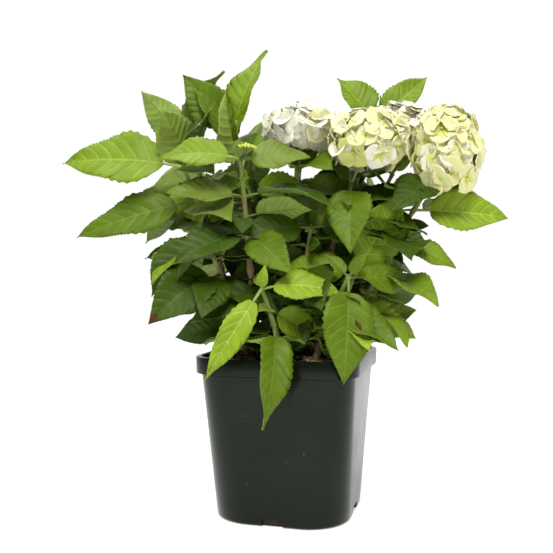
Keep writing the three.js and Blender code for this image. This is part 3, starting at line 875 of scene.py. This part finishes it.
def cut_drain_slots(pot):
    """A round-cornered slot through the foot of the wall in the middle of each side."""
    cutter = Piece("slot_cutter", [])
    half, tall, corner = SLOT_WIDTH / 2 * MM, SLOT_HEIGHT * MM, 2.5 * MM
    outline = [(-half, -0.005), (half, -0.005)]
    for step in range(5):
        angle = math.radians(90 * step / 4)
        outline.append((half - corner + corner * math.cos(angle),
                        tall - corner + corner * math.sin(angle)))
    for step in range(5):
        angle = math.radians(90 + 90 * step / 4)
        outline.append((-half + corner + corner * math.cos(angle),
                        tall - corner + corner * math.sin(angle)))
    outline = np.array(outline)
    for side in range(4):
        angle = math.radians(90 * side)
        out = np.array([math.cos(angle), math.sin(angle), 0])
        across = np.array([-math.sin(angle), math.cos(angle), 0])
        near, far = (FOOT_HALF_WIDTH - SLOT_DEPTH) * MM, (FOOT_HALF_WIDTH + 8) * MM
        ring = across * outline[:, :1] + np.array([0, 0, 1.0]) * outline[:, 1:]
        count = len(outline)
        start = cutter.add_points(np.concatenate([ring + out * near, ring + out * far]))
        inner = start + np.arange(count)
        outer = inner + count
        cutter.add_quads(np.stack([inner, np.roll(inner, -1), np.roll(outer, -1), outer], -1), 0)
        for ends, centre_out in ((inner[::-1], near), (outer, far)):
            middle = cutter.add_points(out * centre_out + np.array([0, 0, 0.002]))
            cutter.add_triangles(np.stack([ends, np.roll(ends, -1), np.full(count, middle)], -1), 0)
    tool = cutter.build([])
    cut = pot.modifiers.new("drain_slots", "BOOLEAN")
    cut.operation = "DIFFERENCE"
    cut.solver = "EXACT"
    cut.object = tool
    cut_mesh = bpy.data.meshes.new_from_object(
        pot.evaluated_get(bpy.context.evaluated_depsgraph_get()))
    pot.modifiers.clear()
    pot.data = cut_mesh
    bpy.data.objects.remove(tool)


build_pot()


# ---------------------------------------------------------------- peat

def peat_material(name, low, high, roughness=0.95):
    material, nodes, links, shader = new_material(name)
    noise, ramp = noise_between(nodes, links, 160.0, low, high, 10.0)
    links.new(ramp.outputs["Color"], shader.inputs["Base Color"])
    shader.inputs["Roughness"].default_value = roughness
    add_bump(nodes, links, shader, noise.outputs["Fac"], 0.9, 0.0015)
    return material


def add_crumb(piece, centre, size, material):
    """A torn lump of peat or bark: a short uneven tube."""
    axis = unit(np.array([chance.gauss(0, 1), chance.gauss(0, 1), chance.gauss(0, 0.5)]))
    shares = np.array([-1.0, -0.55, 0.1, 0.6, 1.0])
    path = centre + axis * (shares * size)[:, None]
    path = path + np.array([[chance.uniform(-0.2, 0.2) * size for _ in range(3)] for _ in shares])
    radii = size * np.array([0.25, 0.7, 0.85, 0.6, 0.2]) * chance.uniform(0.6, 1.0)
    add_tube(piece, path, radii, 6, material)


CRUMBS = 1500
ROOTS = 90


def build_peat():
    """The peat's rough top, with crumbs, bark chips and fine pale roots."""
    peat = peat_material("peat_dark", (0.030, 0.018, 0.011), (0.115, 0.072, 0.043))
    bark = peat_material("peat_bark_chips", (0.10, 0.055, 0.028), (0.22, 0.135, 0.075))
    fibre = peat_material("peat_fibres", (0.22, 0.15, 0.09), (0.36, 0.26, 0.16))
    # The peat filling the pot is dark peat made darker still with painted shade, for the peat seen
    # through the drain slots.
    bed_painted_shade = peat_material("peat_bed_painted_shade", (0.012, 0.008, 0.005), (0.050, 0.032, 0.020))
    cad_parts["soil"].data.materials.clear()
    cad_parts["soil"].data.materials.append(bed_painted_shade)
    piece = Piece("peat_surface", [peat, bark, fibre])
    reach = 66
    for _ in range(CRUMBS):
        x, y = chance.uniform(-82, 82), chance.uniform(-82, 82)
        if math.hypot(max(abs(x) - 52, 0), max(abs(y) - 52, 0)) > 29:
            continue
        size = chance.choice((1.2, 1.8, 2.4, 3.6)) * chance.uniform(0.7, 1.3)
        height = soil_top(x, y) + size * 0.2
        material = 1 if chance.random() < 0.2 else 0
        add_crumb(piece, np.array([x, y, height]) * MM, size * MM, material)
    for _ in range(ROOTS):
        x, y = chance.uniform(-reach, reach), chance.uniform(-reach, reach)
        angle = chance.uniform(0, 6.28)
        length = chance.uniform(8, 24)
        share = np.linspace(0, 1, 7)
        bow = chance.uniform(-4, 4)
        xs = x + math.cos(angle) * length * share - math.sin(angle) * bow * np.sin(math.pi * share)
        ys = y + math.sin(angle) * length * share + math.cos(angle) * bow * np.sin(math.pi * share)
        xs, ys = np.clip(xs, -78, 78), np.clip(ys, -78, 78)
        zs = soil_top(xs, ys) + 0.8 + 1.8 * np.sin(math.pi * share)
        add_tube(piece, np.stack([xs, ys, zs], axis=1) * MM, np.full(7, 0.35) * MM, 5, 2)
    piece.build([])


build_peat()


# ---------------------------------------------------------------- stage, light and camera

FLOOR_HALF_WIDTH = 60.0
FLOOR_DROP = 0.0004  # keeps the floor just clear of the pot's underside


def build_stage():
    mesh = bpy.data.meshes.new("floor")
    half = FLOOR_HALF_WIDTH
    corners = [(-half, -half, 0), (half, -half, 0), (half, half, 0), (-half, half, 0)]
    mesh.from_pydata(corners, [], [(0, 1, 2, 3)])
    floor = bpy.data.objects.new("floor", mesh)
    floor.location.z = -FLOOR_DROP
    bpy.context.scene.collection.objects.link(floor)
    material, _, _, shader = new_material("floor_white")
    shader.inputs["Base Color"].default_value = (0.92, 0.92, 0.92, 1)
    shader.inputs["Roughness"].default_value = 0.38
    shader.inputs["Emission Color"].default_value = (1, 1, 1, 1)
    shader.inputs["Emission Strength"].default_value = 0.30
    mesh.materials.append(material)


def area_light(name, place, aim, size, watts):
    data = bpy.data.lights.new(name, "AREA")
    data.shape = "DISK"
    data.size = size
    data.energy = watts
    light = bpy.data.objects.new(name, data)
    light.location = place
    light.rotation_euler = (Vector(aim) - Vector(place)).to_track_quat("-Z", "Y").to_euler()
    bpy.context.scene.collection.objects.link(light)


def build_world():
    """A white studio, brightest behind the plant and dimmer on the camera's side."""
    world = bpy.data.worlds.new("studio")
    bpy.context.scene.world = world
    world.use_nodes = True
    nodes, links = world.node_tree.nodes, world.node_tree.links
    background = nodes["Background"]
    coordinates = nodes.new("ShaderNodeTexCoord")
    split = nodes.new("ShaderNodeSeparateXYZ")
    links.new(coordinates.outputs["Generated"], split.inputs["Vector"])
    level = nodes.new("ShaderNodeMapRange")
    level.inputs["From Min"].default_value = -0.6
    level.inputs["From Max"].default_value = 0.5
    level.inputs["To Min"].default_value = 0.15
    level.inputs["To Max"].default_value = 1.05
    links.new(split.outputs["Y"], level.inputs["Value"])
    links.new(level.outputs["Result"], background.inputs["Strength"])
    background.inputs["Color"].default_value = (1, 1, 1, 1)


CAMERA_AZIMUTH = 14.9
CAMERA_ELEVATION = 0.9
CAMERA_DISTANCE = 0.85
CAMERA_HEIGHT = 0.2619
CAMERA_LENS = 48.6
CAMERA_SHIFT = -0.0253


def build_camera():
    azimuth, elevation = math.radians(CAMERA_AZIMUTH), math.radians(CAMERA_ELEVATION)
    back = Vector((math.sin(azimuth) * math.cos(elevation),
                   -math.cos(azimuth) * math.cos(elevation), math.sin(elevation)))
    data = bpy.data.cameras.new("camera")
    data.lens = CAMERA_LENS
    data.sensor_width = 36
    data.shift_x = CAMERA_SHIFT
    camera = bpy.data.objects.new("camera", data)
    camera.location = Vector((0, 0, CAMERA_HEIGHT)) + back * CAMERA_DISTANCE
    camera.rotation_euler = back.to_track_quat("Z", "Y").to_euler()
    bpy.context.scene.collection.objects.link(camera)
    bpy.context.scene.camera = camera


build_stage()
build_world()
area_light("key", (0.4, -1.2, 1.8), (0, 0, 0.35), 0.9, 46)
area_light("top", (-0.3, 0.2, 1.8), (0, 0, 0.3), 1.4, 16)
area_light("fill", (-1.1, -0.9, 1.5), (0, 0, 0.4), 0.9, 10)
build_camera()
bpy.context.scene.view_settings.view_transform = "Standard"
